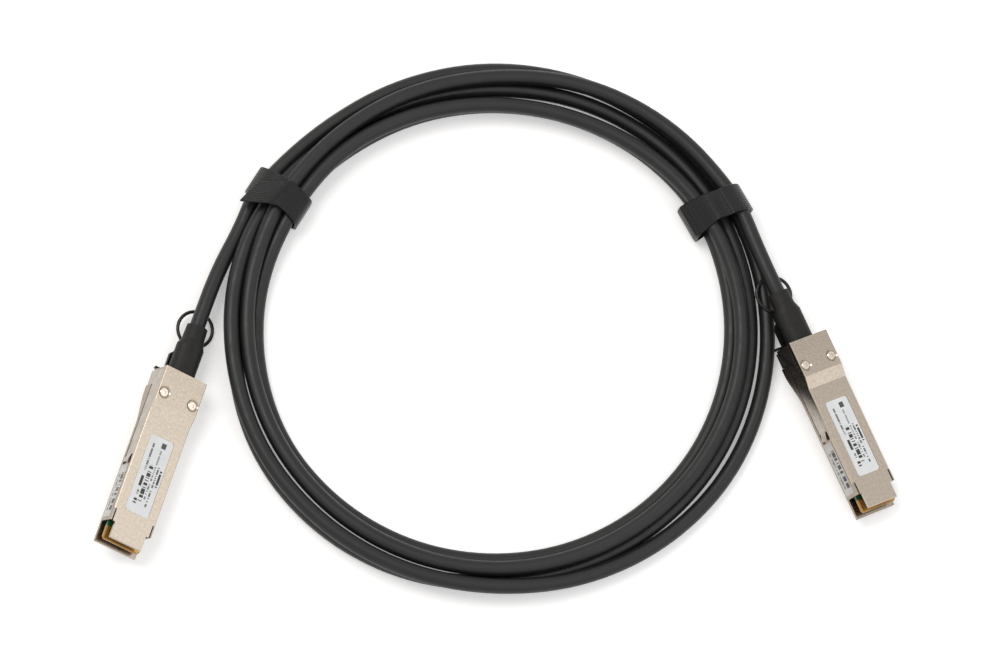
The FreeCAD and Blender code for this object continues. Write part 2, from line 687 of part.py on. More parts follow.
def side_label(side):
    """Bare label on the side wall, in front of the slide's recess."""
    return flat_label("side_label", side, "YZ_Plane", "housing_width / 2", rectangle(
        "side_label_start", "side_label_end",
        "-cover_depth - side_label_drop - side_label_height",
        "-cover_depth - side_label_drop"))


def solid_node(label, shape, placement=None):
    """Document object for a shape that no sketch describes well."""
    thing = doc.addObject("Part::Feature", label)
    thing.Label = label
    thing.Shape = shape
    thing.Placement = placement or FreeCAD.Placement()
    NODES.append(thing)
    return thing


def route(points):
    """Wire of straight runs joined by the largest tangent arcs that fit."""
    edges = []
    radii = []
    start = points[0]
    for before, corner, after in zip(points, points[1:], points[2:]):
        arriving = (corner - before).normalize()
        leaving = (after - corner).normalize()
        turn = arriving.getAngle(leaving)
        setback = BEND_SHARE * min((corner - before).Length, (after - corner).Length)
        radius = setback / math.tan(turn / 2)
        radii.append(radius)
        arc_start = corner - arriving * setback
        arc_end = corner + leaving * setback
        inward = (leaving - arriving).normalize()
        sagitta = radius / math.cos(turn / 2) - radius
        middle = corner + inward * sagitta
        edges.append(Part.LineSegment(start, arc_start).toShape())
        edges.append(Part.Arc(arc_start, middle, arc_end).toShape())
        start = arc_end
    edges.append(Part.LineSegment(start, points[-1]).toShape())
    return Part.Wire(edges), radii


def tube(points, diameter, height=None):
    """Solid along a route, many-sided or a flat rectangle, with its volume compared."""
    path, radii = route(points)
    heading = (points[1] - points[0]).normalize()
    across = heading.cross(VECTOR(0, 0, 1)).normalize() * (diameter / 2)
    upward = across.cross(heading).normalize() * ((height or diameter) / 2)
    corners = []
    if height is None:
        for flat in range(TUBE_SIDES):
            turn = 2 * math.pi * flat / TUBE_SIDES
            corners.append(points[0] + across * math.cos(turn) + upward * math.sin(turn))
    else:
        for sign_x, sign_z in ((1, 1), (-1, 1), (-1, -1), (1, -1)):
            corners.append(points[0] + across * sign_x + upward * sign_z)
    section = Part.makePolygon(corners + corners[:1])
    area = Part.Face(section).Area
    solid = path.makePipeShell([section], True, True)
    expected = area * path.Length
    if abs(solid.Volume / expected - 1) > VOLUME_SPREAD:
        raise RuntimeError(f"tube volume {solid.Volume:.1f}, expected {expected:.1f}")
    return solid, path.Length, radii


def faceted(sections, closed=False):
    """Solid with flat facets through sections that have the same number of corners."""
    faces = []
    following = sections[1:] + sections[:1] if closed else sections[1:]
    for before, after in zip(sections, following):
        for index, corner in enumerate(before):
            ahead = (index + 1) % len(before)
            for others in ((before[ahead], after[ahead]), (after[ahead], after[index])):
                faces.append(Part.Face(Part.makePolygon([corner, *others, corner])))
    if not closed:
        for section in (sections[0], sections[-1]):
            faces.append(Part.Face(Part.makePolygon(section + section[:1])))
    shell = Part.Shell(faces)
    shell.sewShape()
    solid = Part.Solid(shell)
    if solid.Volume < 0:
        solid.reverse()
    return solid


def wire_pairs(side):
    """Eight shielded flat pairs that fan out from the ferrule to both faces of the card."""
    height = size("wire_height")
    card_top = -size("card_top_drop")
    card_bottom = card_top - size("card_thickness")
    start_y = size("ferrule_end") + size("wire_start_gap")
    seat = height / 2 + size("running_gap") / 2
    wires = []
    for level, sign in ((card_top + seat, 1), (card_bottom - seat, -1)):
        for place in PAIR_PLACES:
            start = VECTOR(place * size("wire_bundle_pitch"), start_y,
                           -size("cable_drop") + sign * size("wire_bundle_pitch") / 2)
            bend = VECTOR(place * size("wire_pitch"), size("card_back") - size("wire_bend_gap"), level)
            end = VECTOR(place * size("wire_pitch"), size("wire_end"), level)
            wires.append(tube([start, bend, end], size("wire_width"), height)[0])
    return solid_node(f"wire_pairs_{side}", Part.makeCompound(wires), module_placement(side))


def return_springs(side):
    """Two compression springs between the housing and the lugs of the slide."""
    wire = size("spring_wire")
    length = size("lug_place") - size("spring_start") - wire
    radius = (size("spring_diameter") - wire) / 2
    steps = round(SPRING_STEPS * size("spring_turns"))
    inset = size("housing_width") / 2 - size("recess") - size("spring_inset")
    coils = []
    for sign in (-1, 1):
        axis = VECTOR(sign * inset, size("spring_start") + wire / 2, -size("spring_drop"))
        sections = []
        for step in range(steps + 1):
            turn = 2 * math.pi * step / SPRING_STEPS
            outward = VECTOR(math.cos(turn), 0, math.sin(turn))
            centre = axis + outward * radius + VECTOR(0, length * step / steps, 0)
            along = VECTOR(0, wire / 2, 0)
            sections.append([centre - outward * (wire / 2), centre + along,
                             centre + outward * (wire / 2), centre - along])
        coils.append(faceted(sections))
    return solid_node(f"return_springs_{side}", Part.makeCompound(coils), module_placement(side))


# The coil's outer shape: at each angle the inner, shoulder and outer radius, and the
# height of its underside, of its outer shelf and of its top.
COIL_STATIONS = [
    (5, 89.6, 99.4, 109.4, 0.0, 5.6, 11.0), (24, 92.0, 101.0, 109.6, 0.8, 5.8, 12.0),
    (26, 91.8, 108.6, 110.4, 1.4, 12.2, 13.4), (35, 91.8, 108.6, 110.4, 1.4, 12.2, 13.4),
    (60, 88.8, 109.2, 109.7, 0.0, 11.4, 12.0), (90, 86.9, 104.4, 108.8, 0.0, 6.2, 11.8),
    (120, 87.6, 101.6, 106.5, 0.0, 6.2, 12.0), (145, 87.9, 100.6, 109.0, 1.4, 8.4, 14.0),
    (154, 87.9, 100.6, 109.0, 1.4, 8.4, 14.0), (180, 89.4, 104.8, 105.0, 0.0, 11.4, 12.0),
    (215, 90.6, 106.2, 106.4, 0.0, 11.4, 12.0), (250, 88.8, 105.8, 106.0, 0.0, 11.4, 12.0),
    (285, 88.0, 104.6, 105.0, 0.0, 10.2, 11.2), (315, 88.2, 99.0, 108.0, 0.0, 6.2, 11.0),
    (345, 89.0, 99.4, 109.4, 0.0, 5.6, 11.0),
]
SECTION_STEP = 10


def coil_centre():
    """Centre of the coil on the surface it lies on."""
    return VECTOR(size("coil_x"), size("coil_y"), 0)


def coil_corners(station):
    """Corners of the coil's section in its radial plane, as radius and height."""
    _, inner, shoulder, outer, base, shelf, top = station
    return [(inner, base), (outer, base), (outer, shelf), (shoulder, shelf), (shoulder, top),
            (inner, top)]


def radial_points(corners, angle):
    """Points in the radial plane at one angle about the coil's centre."""
    turn = math.radians(angle)
    points = []
    for radius, height in corners:
        points.append(VECTOR(radius * math.cos(turn), radius * math.sin(turn), height))
    return points


def coil_station(angle):
    """The coil's outer shape at any angle, between the two nearest stations."""
    ring = COIL_STATIONS + [(COIL_STATIONS[0][0] + 360,) + COIL_STATIONS[0][1:]]
    for low, high in zip(ring, ring[1:]):
        if low[0] <= angle <= high[0]:
            share = (angle - low[0]) / (high[0] - low[0])
            return [a + share * (b - a) for a, b in zip(low, high)]
    raise ValueError(f"no station for {angle} degrees")


def cable_coil():
    """Closed solid of the coil's outer shape."""
    first = COIL_STATIONS[0][0]
    angles = {first + SECTION_STEP * turn for turn in range(round(360 / SECTION_STEP))}
    angles.update(station[0] for station in COIL_STATIONS)
    angles.update((size("strap_left_angle"), size("strap_right_angle")))
    sections = []
    for angle in sorted(angles):
        sections.append(radial_points(coil_corners(coil_station(angle)), angle))
    solid = faceted(sections, closed=True)
    return solid_node("cable_coil", solid, FreeCAD.Placement(coil_centre(), FreeCAD.Rotation()))


def strap(name):
    """Hook-and-loop strap: a closed band round the bundle and its loose tail."""
    angle = size(f"{name}_angle")
    _, inner, shoulder, outer, base, shelf, top = coil_station(angle)
    hull = [(inner, base), (outer, base), (outer, shelf), (shoulder, top), (inner, top)]
    outline = radial_points(hull, 0)
    core = Part.makePolygon(outline + outline[:1])
    thickness = size("strap_thickness")
    inside = core.makeOffset2D(size("strap_gap"), 2, False, False)
    outside = core.makeOffset2D(size("strap_gap") + thickness, 2, False, False)
    band = Part.Face(outside).cut(Part.Face(inside)).Faces[0]
    half_turn = math.degrees(math.asin(size("strap_width") / (inner + outer)))
    slope = VECTOR(outer - shoulder, 0, shelf - top).normalize()
    away = VECTOR(-slope.z, 0, slope.x)
    foot = VECTOR(shoulder, 0, top) + away * (size("strap_gap") + thickness / 2) + slope
    tip = foot + slope * size("strap_flap_length") + away * thickness
    flap = Part.Face(Part.makePolygon([
        foot, tip, tip + away * thickness, foot + away * thickness, foot]))
    sides = []
    for face in (band, flap):
        turned = face.copy()
        turned.rotate(VECTOR(0, 0, 0), VECTOR(0, 0, 1), angle - half_turn)
        sides.append(turned.revolve(VECTOR(0, 0, 0), VECTOR(0, 0, 1), 2 * half_turn))
    solid = sides[0].fuse(sides[1]).removeSplitter()
    return solid_node(name, solid, FreeCAD.Placement(coil_centre(), FreeCAD.Rotation()))


def lead_start(side):
    """End of the jacket, gripped in the ferrule."""
    local = VECTOR(0, size("ferrule_start") + size("grip_depth"), -size("cable_drop"))
    return module_placement(side).multVec(local)


# Free cable between each boot and the coil, chosen by hand.
LEAD_A = [VECTOR(-114.8, 38.1, 8.8), VECTOR(-108.4, 56.3, 6.6), VECTOR(-100.2, 73.1, 4.2),
          VECTOR(-96.1, 80.9, 4.2)]
LEAD_B = [VECTOR(107.0, 54.2, 12.3), VECTOR(100.8, 69.1, 11.0), VECTOR(94.2, 83.6, 10.4)]


def cable_lead(side, points):
    """Straight and gently bent cable from the ferrule to the coil."""
    whole = [lead_start(side)] + points
    solid, length, radii = tube(whole, size("cable_diameter"))
    words = ", ".join(f"{radius:.0f}" for radius in radii)
    print(f"cable_lead_{side}: {length:.1f} mm long, radii {words} mm")
    return solid_node(f"cable_lead_{side}", solid)


def module(side):
    """All sub-parts of the module at one end."""
    housing_body(side)
    housing_cover(side)
    cover_screws(side)
    paddle_card(side)
    contact_fingers(side)
    memory_chip(side)
    wire_pairs(side)
    crimp_ferrule(side)
    cable_boot(side)
    latch_slide(side)
    return_springs(side)
    pull_ring(side)
    cover_label(side)
    side_label(side)


module("a")
module("b")
cable_coil()
cable_lead("a", LEAD_A)
cable_lead("b", LEAD_B)
strap("strap_left")
strap("strap_right")

doc.recompute()
for thing in doc.Objects:
    if "Invalid" in thing.State or "Error" in thing.State:
        raise RuntimeError(f"{thing.Label}: {thing.State}")
for node in NODES:
    if node.Shape.isNull() or not node.Shape.isValid():
        raise RuntimeError(f"{node.Label}: no valid shape")

os.makedirs("parts", exist_ok=True)
for node in NODES:
    node.Shape.exportStep(f"parts/{node.Label}.step")
print(f"{len(NODES)} sub-parts written")
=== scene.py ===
"""Direct attach copper cable: finishes, coiled cable, straps, floor, lamps and camera."""
import json
import logging
import math
from dataclasses import dataclass, field
from enum import Enum

import bmesh
import bpy
from mathutils import Matrix, Vector


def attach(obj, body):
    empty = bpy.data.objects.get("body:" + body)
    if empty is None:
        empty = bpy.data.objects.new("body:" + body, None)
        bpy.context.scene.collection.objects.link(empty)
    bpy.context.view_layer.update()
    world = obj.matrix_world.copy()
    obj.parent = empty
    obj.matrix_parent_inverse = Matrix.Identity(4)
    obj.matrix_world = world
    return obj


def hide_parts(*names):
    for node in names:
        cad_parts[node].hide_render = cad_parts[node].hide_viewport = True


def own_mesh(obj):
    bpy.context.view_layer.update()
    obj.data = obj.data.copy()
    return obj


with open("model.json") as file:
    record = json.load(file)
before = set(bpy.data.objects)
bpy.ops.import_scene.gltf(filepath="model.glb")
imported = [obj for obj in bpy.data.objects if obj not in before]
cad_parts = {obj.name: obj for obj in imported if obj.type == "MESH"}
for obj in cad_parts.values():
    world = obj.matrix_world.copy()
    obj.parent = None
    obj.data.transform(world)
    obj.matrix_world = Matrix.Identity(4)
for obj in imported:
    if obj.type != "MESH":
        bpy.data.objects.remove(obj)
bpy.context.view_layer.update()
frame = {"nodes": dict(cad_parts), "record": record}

# One millimetre in metres.
MM = 0.001
# The sRGB curve: where its straight part ends and how steep it is, then the offset and power.
SRGB_STRAIGHT_END, SRGB_SLOPE, SRGB_OFFSET, SRGB_POWER = 0.04045, 12.92, 0.055, 2.4
# The Mix node's factor, its two colours and its colour result, by place among its sockets.
MIX_FACTOR, MIX_FIRST, MIX_SECOND, MIX_RESULT = 0, 6, 7, 2
# Noise values between which two colours, and two degrees of gloss, run into each other.
COLOUR_PATCHES = (0.35, 0.65)
GLOSS_PATCHES = (0.3, 0.7)
LOG = logging.getLogger("direct_attach_cable")


class Side(Enum):
    """The two ends of the cable."""

    LEFT = "a"
    RIGHT = "b"


def linear(hex_colour: str) -> tuple[float, float, float, float]:
    """Turn an sRGB hex colour into linear RGBA.

    Args:
        hex_colour: Colour as "#rrggbb".

    Returns:
        Linear red, green, blue and an alpha of one.
    """
    channels = []
    for start in (1, 3, 5):
        value = int(hex_colour[start:start + 2], 16) / 255
        if value <= SRGB_STRAIGHT_END:
            channels.append(value / SRGB_SLOPE)
        else:
            channels.append(((value + SRGB_OFFSET) / (1 + SRGB_OFFSET)) ** SRGB_POWER)
    return (*channels, 1.0)


def add_node(
    tree: bpy.types.NodeTree,
    kind: str,
    settings: dict | None = None,
    links: dict | None = None,
) -> bpy.types.Node:
    """Add one node with its settings and links.

    Args:
        tree: Node tree that receives the node.
        kind: Blender's name of the node type.
        settings: Property names or input sockets and their plain values.
        links: Input sockets and the output sockets that feed them.

    Returns:
        The new node.
    """
    node = tree.nodes.new(kind)
    for key, value in (settings or {}).items():
        if isinstance(key, str) and hasattr(node, key):
            setattr(node, key, value)
        else:
            node.inputs[key].default_value = value
    for key, output in (links or {}).items():
        tree.links.new(output, node.inputs[key])
    return node


def ramp(
    tree: bpy.types.NodeTree,
    factor: bpy.types.NodeSocket,
    low: float,
    high: float,
    out_low: float = 0.0,
    out_high: float = 1.0,
) -> bpy.types.NodeSocket:
    """Map a value from one range to another, clamped.

    Args:
        tree: Node tree that receives the node.
        factor: Value to map.
        low: Value that gives out_low.
        high: Value that gives out_high.
        out_low: Result at the low end.
        out_high: Result at the high end.

    Returns:
        The mapped value's socket.
    """
    node = add_node(
        tree, "ShaderNodeMapRange",
        {"From Min": low, "From Max": high, "To Min": out_low, "To Max": out_high},
        {"Value": factor},
    )
    return node.outputs["Result"]


def blend_colours(
    tree: bpy.types.NodeTree,
    factor: bpy.types.NodeSocket,
    first: tuple | bpy.types.NodeSocket,
    second: tuple | bpy.types.NodeSocket,
) -> bpy.types.NodeSocket:
    """Blend two colours by a factor.

    Args:
        tree: Node tree that receives the node.
        factor: Zero gives the first colour and one the second.
        first: Linear colour or a socket.
        second: Linear colour or a socket.

    Returns:
        The blended colour's socket.
    """
    node = add_node(tree, "ShaderNodeMix", {"data_type": "RGBA"})
    tree.links.new(factor, node.inputs[MIX_FACTOR])
    for index, value in ((MIX_FIRST, first), (MIX_SECOND, second)):
        if isinstance(value, bpy.types.NodeSocket):
            tree.links.new(value, node.inputs[index])
        else:
            node.inputs[index].default_value = value
    return node.outputs[MIX_RESULT]


def noise(
    tree: bpy.types.NodeTree,
    coordinates: bpy.types.NodeSocket,
    grain_mm: float,
    detail: float = 2.0,
) -> bpy.types.NodeSocket:
    """Noise whose blotches have a real size.

    Args:
        tree: Node tree that receives the node.
        coordinates: Object coordinates, in metres.
        grain_mm: Size of one blotch in millimetres.
        detail: Octaves of finer noise.

    Returns:
        The noise value's socket.
    """
    node = add_node(
        tree, "ShaderNodeTexNoise",
        {"Scale": 1 / (grain_mm * MM), "Detail": detail},
        {"Vector": coordinates},
    )
    return node.outputs["Fac"]


@dataclass(frozen=True)
class Finish:
    """A surface with mottled colour, fine relief and uneven gloss.

    Sizes are in millimetres; colours are sRGB hex values.
    """

    name: str
    colour: str
    accent: str
    roughness: float
    roughness_spread: float = 0.05
    metallic: float = 0.0
    mottle_mm: float = 6.0
    grain_mm: float = 0.25
    relief_mm: float = 0.01
    sockets: tuple[tuple[str, float], ...] = ()

    def coordinates(self, tree: bpy.types.NodeTree, local: Matrix) -> bpy.types.NodeSocket:
        """Return the Object coordinates of the piece."""
        return add_node(tree, "ShaderNodeTexCoord").outputs["Object"]

    def base_colour(
        self, tree: bpy.types.NodeTree, where: bpy.types.NodeSocket
    ) -> bpy.types.NodeSocket:
        """Return the surface colour's socket."""
        patches = ramp(tree, noise(tree, where, self.mottle_mm), *COLOUR_PATCHES)
        return blend_colours(tree, patches, linear(self.colour), linear(self.accent))

    def height(
        self, tree: bpy.types.NodeTree, where: bpy.types.NodeSocket
    ) -> bpy.types.NodeSocket:
        """Return the socket of the fine relief, from zero to one."""
        return noise(tree, where, self.grain_mm)

    def build(self, name: str, local: Matrix) -> bpy.types.Material:
        """Build the material.

        Args:
            name: Name of the material.
            local: Matrix from the world to the module's own frame.

        Returns:
            The finished material.
        """
        material = bpy.data.materials.new(name)
        material.use_nodes = True
        tree = material.node_tree
        tree.nodes.clear()
        where = self.coordinates(tree, local)
        colour = self.base_colour(tree, where)
        spread = self.roughness_spread
        gloss = ramp(
            tree, noise(tree, where, self.mottle_mm / 2), *GLOSS_PATCHES,
            self.roughness - spread, self.roughness + spread,
        )
        bump = add_node(
            tree, "ShaderNodeBump",
            {"Strength": 1.0, "Distance": self.relief_mm * MM},
            {"Height": self.height(tree, where)},
        )
        settings = {"Metallic": self.metallic}
        settings.update(dict(self.sockets))
        shader = add_node(
            tree, "ShaderNodeBsdfPrincipled", settings,
            {"Base Color": colour, "Roughness": gloss, "Normal": bump.outputs["Normal"]},
        )
        add_node(tree, "ShaderNodeOutputMaterial", None, {"Surface": shader.outputs["BSDF"]})
        return material


@dataclass(frozen=True)
class PlacedFinish(Finish):
    """A finish whose pattern is laid out in the module's own frame."""

    def coordinates(self, tree: bpy.types.NodeTree, local: Matrix) -> bpy.types.NodeSocket:
        """Move and turn the Object coordinates into the module's frame.

        Args:
            tree: Node tree that receives the nodes.
            local: Matrix from the world to the module's own frame.

        Returns:
            The socket of the module's own coordinates.
        """
        mapping = add_node(
            tree, "ShaderNodeMapping",
            {"Location": local.to_translation(), "Rotation": local.to_euler("XYZ")},
            {"Vector": super().coordinates(tree, local)},
        )
        return mapping.outputs["Vector"]

    def axis(
        self, tree: bpy.types.NodeTree, where: bpy.types.NodeSocket, name: str
    ) -> bpy.types.NodeSocket:
        """Return one coordinate of the module's frame."""
        split = add_node(tree, "ShaderNodeSeparateXYZ", None, {"Vector": where})
        return split.outputs[name]


@dataclass(frozen=True)
class CastingWithPaintedShade(PlacedFinish):
    """Plated casting with painted shade in fine specks at its back end and an unshaded front."""

    # Colour of the painted shade, and where along the module it fades out.
    painted_shade: str = "#8f8375"
    painted_shade_from_mm: float = 2.0
    unshaded_from_mm: float = 30.0
    painted_shade_behind: float = 0.5
    painted_shade_in_front: float = 0.04
    speck_grains: float = 1.6
    speck_patches: tuple[float, float] = (0.35, 0.68)
    least_speck: float = 0.15

    def base_colour(
        self, tree: bpy.types.NodeTree, where: bpy.types.NodeSocket
    ) -> bpy.types.NodeSocket:
        """Darken the plating's colour in fine specks towards the cable, as painted shade.

        Args:
            tree: Node tree that receives the nodes.
            where: Coordinates that the pattern is laid out in.

        Returns:
            The socket of the colour.
        """
        unshaded_colour = super().base_colour(tree, where)
        # Painted shade: the colour is darkened in fine specks towards the module's back end.
        painted_shade_share = ramp(
            tree, self.axis(tree, where, "Y"), self.painted_shade_from_mm * MM,
            self.unshaded_from_mm * MM, self.painted_shade_behind, self.painted_shade_in_front)
        specks = ramp(
            tree, noise(tree, where, self.grain_mm * self.speck_grains), *self.speck_patches,
            self.least_speck, 1)
        both = add_node(tree, "ShaderNodeMath", {"operation": "MULTIPLY"}, {0: painted_shade_share, 1: specks})
        return blend_colours(tree, both.outputs["Value"], unshaded_colour, linear(self.painted_shade))


@dataclass(frozen=True)
class Board(PlacedFinish):
    """Circuit board: solder mask, and bare laminate round the edge contacts."""

    bare: str = "#b08642"
    bare_from_mm: float = 65.9
    bare_edge_mm: float = 0.05

    def base_colour(
        self, tree: bpy.types.NodeTree, where: bpy.types.NodeSocket
    ) -> bpy.types.NodeSocket:
        """Colour the mask, and the laminate in front of it.

        Args:
            tree: Node tree that receives the nodes.
            where: Coordinates that the pattern is laid out in.

        Returns:
            The socket of the colour.
        """
        masked = super().base_colour(tree, where)
        edge = self.bare_from_mm * MM
        front = ramp(tree, self.axis(tree, where, "Y"), edge, edge + self.bare_edge_mm * MM)
        return blend_colours(tree, front, masked, linear(self.bare))


@dataclass(frozen=True)
class Bar:
    """One row of print: a solid block, or strokes of uneven spacing when it has a pitch.

    Its start and end lie along the module and its centre and height across the label, all in
    millimetres. Its tone is the strength of the ink.
    """

    start: float
    end: float
    centre: float
    height: float
    pitch: float = 0.0
    tone: float = 1.0


@dataclass(frozen=True)
class PrintedLabel(PlacedFinish):
    """Label film with rows of plain bars along the module."""

    bars: tuple[Bar, ...] = ()
    across: str = "X"
    ink: str = "#2a2b2d"
    bare_share: float = 0.28

    def inside(
        self, tree: bpy.types.NodeTree, value: bpy.types.NodeSocket, low: float, high: float
    ) -> bpy.types.NodeSocket:
        """Mark where a coordinate lies between two limits.

        Args:
            tree: Node tree that receives the nodes.
            value: Coordinate in metres.
            low: Lower limit in millimetres.
            high: Upper limit in millimetres.

        Returns:
            A socket that is one between the limits and zero outside them.
        """
        node = add_node(
            tree, "ShaderNodeMath",
            {"operation": "COMPARE", 1: (low + high) / 2 * MM, 2: (high - low) / 2 * MM},
            {0: value})
        return node.outputs["Value"]

    def strokes(
        self, tree: bpy.types.NodeTree, along: bpy.types.NodeSocket, pitch: float
    ) -> bpy.types.NodeSocket:
        """Break a row into strokes of uneven spacing.

        Args:
            tree: Node tree that receives the nodes.
            along: Coordinate along the row, in metres.
            pitch: Width of the narrowest stroke or gap, in millimetres.

        Returns:
            A socket that is one on the strokes and zero between them.
        """
        steps = add_node(
            tree, "ShaderNodeMath", {"operation": "DIVIDE", 1: pitch * MM}, {0: along})
        whole = add_node(
            tree, "ShaderNodeMath", {"operation": "FLOOR"}, {0: steps.outputs["Value"]})
        chance = add_node(
            tree, "ShaderNodeTexWhiteNoise", {"noise_dimensions": "1D"},
            {"W": whole.outputs["Value"]})
        dark = add_node(
            tree, "ShaderNodeMath", {"operation": "GREATER_THAN", 1: self.bare_share},
            {0: chance.outputs["Value"]})
        return dark.outputs["Value"]

    def base_colour(
        self, tree: bpy.types.NodeTree, where: bpy.types.NodeSocket
    ) -> bpy.types.NodeSocket:
        """Print the bars on the film's colour.

        Args:
            tree: Node tree that receives the nodes.
            where: Coordinates that the pattern is laid out in.

        Returns:
            The socket of the colour.
        """
        along = self.axis(tree, where, "Y")
        across = self.axis(tree, where, self.across)
        ink = None
        for bar in self.bars:
            half = bar.height / 2
            parts = [
                self.inside(tree, along, bar.start, bar.end),
                self.inside(tree, across, bar.centre - half, bar.centre + half),
            ]
            if bar.pitch:
                parts.append(self.strokes(tree, along, bar.pitch))
            mask = bar.tone
            for part in parts:
                product = add_node(tree, "ShaderNodeMath", {"operation": "MULTIPLY"}, {0: part})
                if isinstance(mask, float):
                    product.inputs[1].default_value = mask
                else:
                    tree.links.new(mask, product.inputs[1])
                mask = product.outputs["Value"]
            if ink is None:
                ink = mask
            else:
                ink = add_node(
                    tree, "ShaderNodeMath", {"operation": "MAXIMUM"}, {0: ink, 1: mask},
                ).outputs["Value"]
        return blend_colours(tree, ink, super().base_colour(tree, where), linear(self.ink))


@dataclass(frozen=True)
class Webbing(Finish):
    """Hook-and-loop tape: ribs along its length, read from its UV map in millimetres, with
    painted highlight on the ribs and painted shade between them.
    """

    # Such tape has ribs about 0.5 mm apart. They are drawn coarser here so that they show.
    rib_mm: float = 0.84
    loop_mm: float = 1.3
    loop_floor: float = 0.6
    # Heights between which the painted highlight on the ribs rises.
    lit_heights: tuple[float, float] = (0.1, 0.9)

    def coordinates(self, tree: bpy.types.NodeTree, local: Matrix) -> bpy.types.NodeSocket:
        """Return the tape's own UV map."""
        return add_node(tree, "ShaderNodeTexCoord").outputs["UV"]

    def wave(
        self, tree: bpy.types.NodeTree, value: bpy.types.NodeSocket, pitch: float, floor: float
    ) -> bpy.types.NodeSocket:
        """Make a wave along one coordinate.

        Args:
            tree: Node tree that receives the nodes.
            value: Coordinate in millimetres.
            pitch: Length of one wave in millimetres.
            floor: Lowest value of the wave, whose highest is one.

        Returns:
            The wave's socket.
        """
        turned = add_node(
            tree, "ShaderNodeMath", {"operation": "MULTIPLY", 1: 2 * math.pi / pitch},
            {0: value})
        sine = add_node(
            tree, "ShaderNodeMath", {"operation": "SINE"}, {0: turned.outputs["Value"]})
        return ramp(tree, sine.outputs["Value"], -1, 1, floor, 1)

    def height(
        self, tree: bpy.types.NodeTree, where: bpy.types.NodeSocket
    ) -> bpy.types.NodeSocket:
        """Raise the ribs and their loops.

        Args:
            tree: Node tree that receives the nodes.
            where: The tape's UV coordinates, in millimetres.

        Returns:
            The socket of the height, from zero to one.
        """
        split = add_node(tree, "ShaderNodeSeparateXYZ", None, {"Vector": where})
        both = add_node(
            tree, "ShaderNodeMath", {"operation": "MULTIPLY"},
            {0: self.wave(tree, split.outputs["Y"], self.rib_mm, 0),
             1: self.wave(tree, split.outputs["X"], self.loop_mm, self.loop_floor)})
        return both.outputs["Value"]

    def base_colour(
        self, tree: bpy.types.NodeTree, where: bpy.types.NodeSocket
    ) -> bpy.types.NodeSocket:
        """Return a colour with painted highlight on the ribs and painted shade between them."""
        # Painted highlight on the rib crests and painted shade in the grooves between them.
        painted_rib_highlight = ramp(tree, self.height(tree, where), *self.lit_heights)
        return blend_colours(tree, painted_rib_highlight, linear(self.colour), linear(self.accent))


# Rows of the label in the cover's pocket, in millimetres of the module's frame.
COVER_ROWS = (
    Bar(28.3, 30.5, -1.5, 2.0, 0.0, 0.95), Bar(31.4, 37.8, -1.1, 0.7, 0.42, 0.6),
    Bar(29.8, 41.0, 2.75, 0.85, 0.4, 0.8), Bar(38.8, 46.0, -3.95, 0.95, 0.5, 1.0),
    Bar(37.8, 54.8, -2.5, 0.8, 0.42, 0.85), Bar(38.2, 52.0, -1.1, 0.75, 0.4, 0.75),
    Bar(38.1, 53.6, 0.6, 1.7, 0.36, 1.0), Bar(42.6, 47.4, 2.65, 1.2, 0.6, 1.0),
    Bar(49.0, 50.8, 2.5, 0.9, 0.36, 0.75), Bar(52.4, 54.6, 2.4, 1.4, 0.55, 1.0),
)
# Rows of the label on the side wall.
SIDE_ROWS = (
    Bar(44.4, 60.6, -3.5, 2.1, 0.34, 0.95), Bar(45.0, 60.2, -6.0, 1.0, 0.42, 0.7),
)

# Nickel-plated zinc die casting of the cover: a warm satin metal with a faint mottle, and
# painted shade in fine specks towards its back end.
COVER_NICKEL = CastingWithPaintedShade(
    "nickel_plated_cover", "#baafa1", "#b1a597", 0.19, 0.04, metallic=1.0, mottle_mm=1.1,
    grain_mm=0.4, relief_mm=0.002)
# The same plating on the rougher casting of the body, with a broader shine; its darker colour is
# painted shade of the side walls, and its back end has painted shade too.
BODY_NICKEL = CastingWithPaintedShade(
    "nickel_plated_body", "#a69b8e", "#998e82", 0.25, 0.05, metallic=1.0, mottle_mm=1.1,
    grain_mm=0.45, relief_mm=0.006, painted_shade="#847a6e")
# Rolled stainless spring sheet: smoother and more neutral than the castings; its colour is drawn
# darker than the sheet's own, as painted shade.
SPRING_SHEET = Finish(
    "stainless_spring_sheet", "#b3aca2", "#a69e94", 0.2, 0.04, metallic=1.0, mottle_mm=3.0,
    grain_mm=0.5, relief_mm=0.002)
# Nickel-plated screw steel: the palest of the metals.
SCREW_STEEL = Finish(
    "nickel_plated_screw", "#ddd5ca", "#cfc5b8", 0.24, 0.04, metallic=1.0, mottle_mm=1.0,
    grain_mm=0.3, relief_mm=0.003)
# Epoxy-glass board under green solder mask: glossy, dark green.
BOARD = Board(
    "green_solder_mask", "#235a38", "#1b4a2d", 0.3, 0.04, mottle_mm=1.4, grain_mm=0.4,
    relief_mm=0.01, sockets=(("Coat Weight", 0.4),))
# Hard gold plating on the edge contacts: a deep yellow with a satin shine.
HARD_GOLD = Finish(
    "hard_gold_plating", "#dca557", "#cc9444", 0.28, 0.04, metallic=1.0, mottle_mm=0.8,
    grain_mm=0.3, relief_mm=0.002)
# Moulded epoxy of the memory chip: matt, almost black.
CHIP_EPOXY = Finish("moulded_epoxy", "#1c1c1d", "#252526", 0.55, mottle_mm=1.0, grain_mm=0.15)
# Foil shield round each pair: bright and faintly crinkled.
PAIR_FOIL = Finish(
    "aluminium_foil_shield", "#c9c9cb", "#b4b4b8", 0.3, metallic=1.0, mottle_mm=1.2,
    grain_mm=0.6, relief_mm=0.05)
# Tinned brass ferrule: pale satin metal with a hint of yellow.
TINNED_BRASS = Finish(
    "tinned_brass", "#c2b68f", "#b1a47c", 0.3, metallic=1.0, mottle_mm=2.0, grain_mm=0.4)
